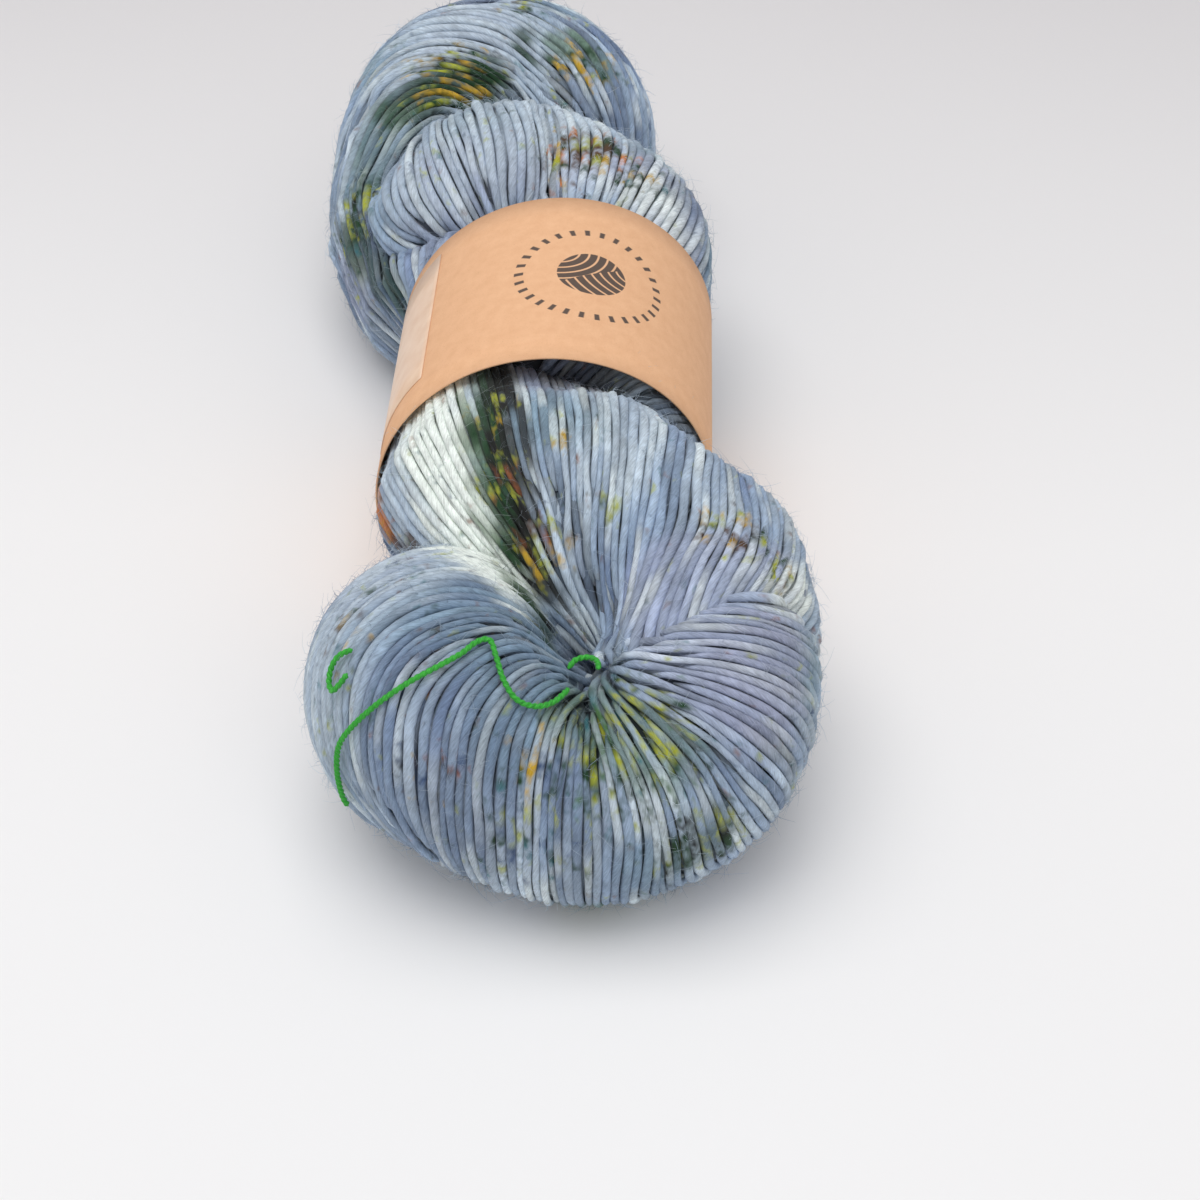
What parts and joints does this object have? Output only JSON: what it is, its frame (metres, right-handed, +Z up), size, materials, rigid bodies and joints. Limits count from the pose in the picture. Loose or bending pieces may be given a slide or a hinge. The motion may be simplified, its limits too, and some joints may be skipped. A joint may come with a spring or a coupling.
{
  "type": "skein of yarn",
  "caption": "Twisted skein of fine hand-dyed wool yarn, turned back at both ends, with a kraft paper band round its middle and a loose green tie thread.",
  "frame": {"origin": "centre of the skein's box, on the surface it lies on", "axes": "+Y along the skein, from the end with the navel and the tie to the other end; +Z up"},
  "size_m": [0.1086, 0.2627, 0.0646],
  "materials": {
    "wool": "matte",
    "kraft_paper": "matte",
    "pale_label": "matte",
    "green_thread": "matte"
  },
  "bodies": {
    "root": {"hank": "wool", "paper_band": "kraft_paper", "band_sticker": "pale_label", "tie_tail": "green_thread", "tie_navel": "green_thread", "tie_side": "green_thread"}
  },
  "joints": []
}
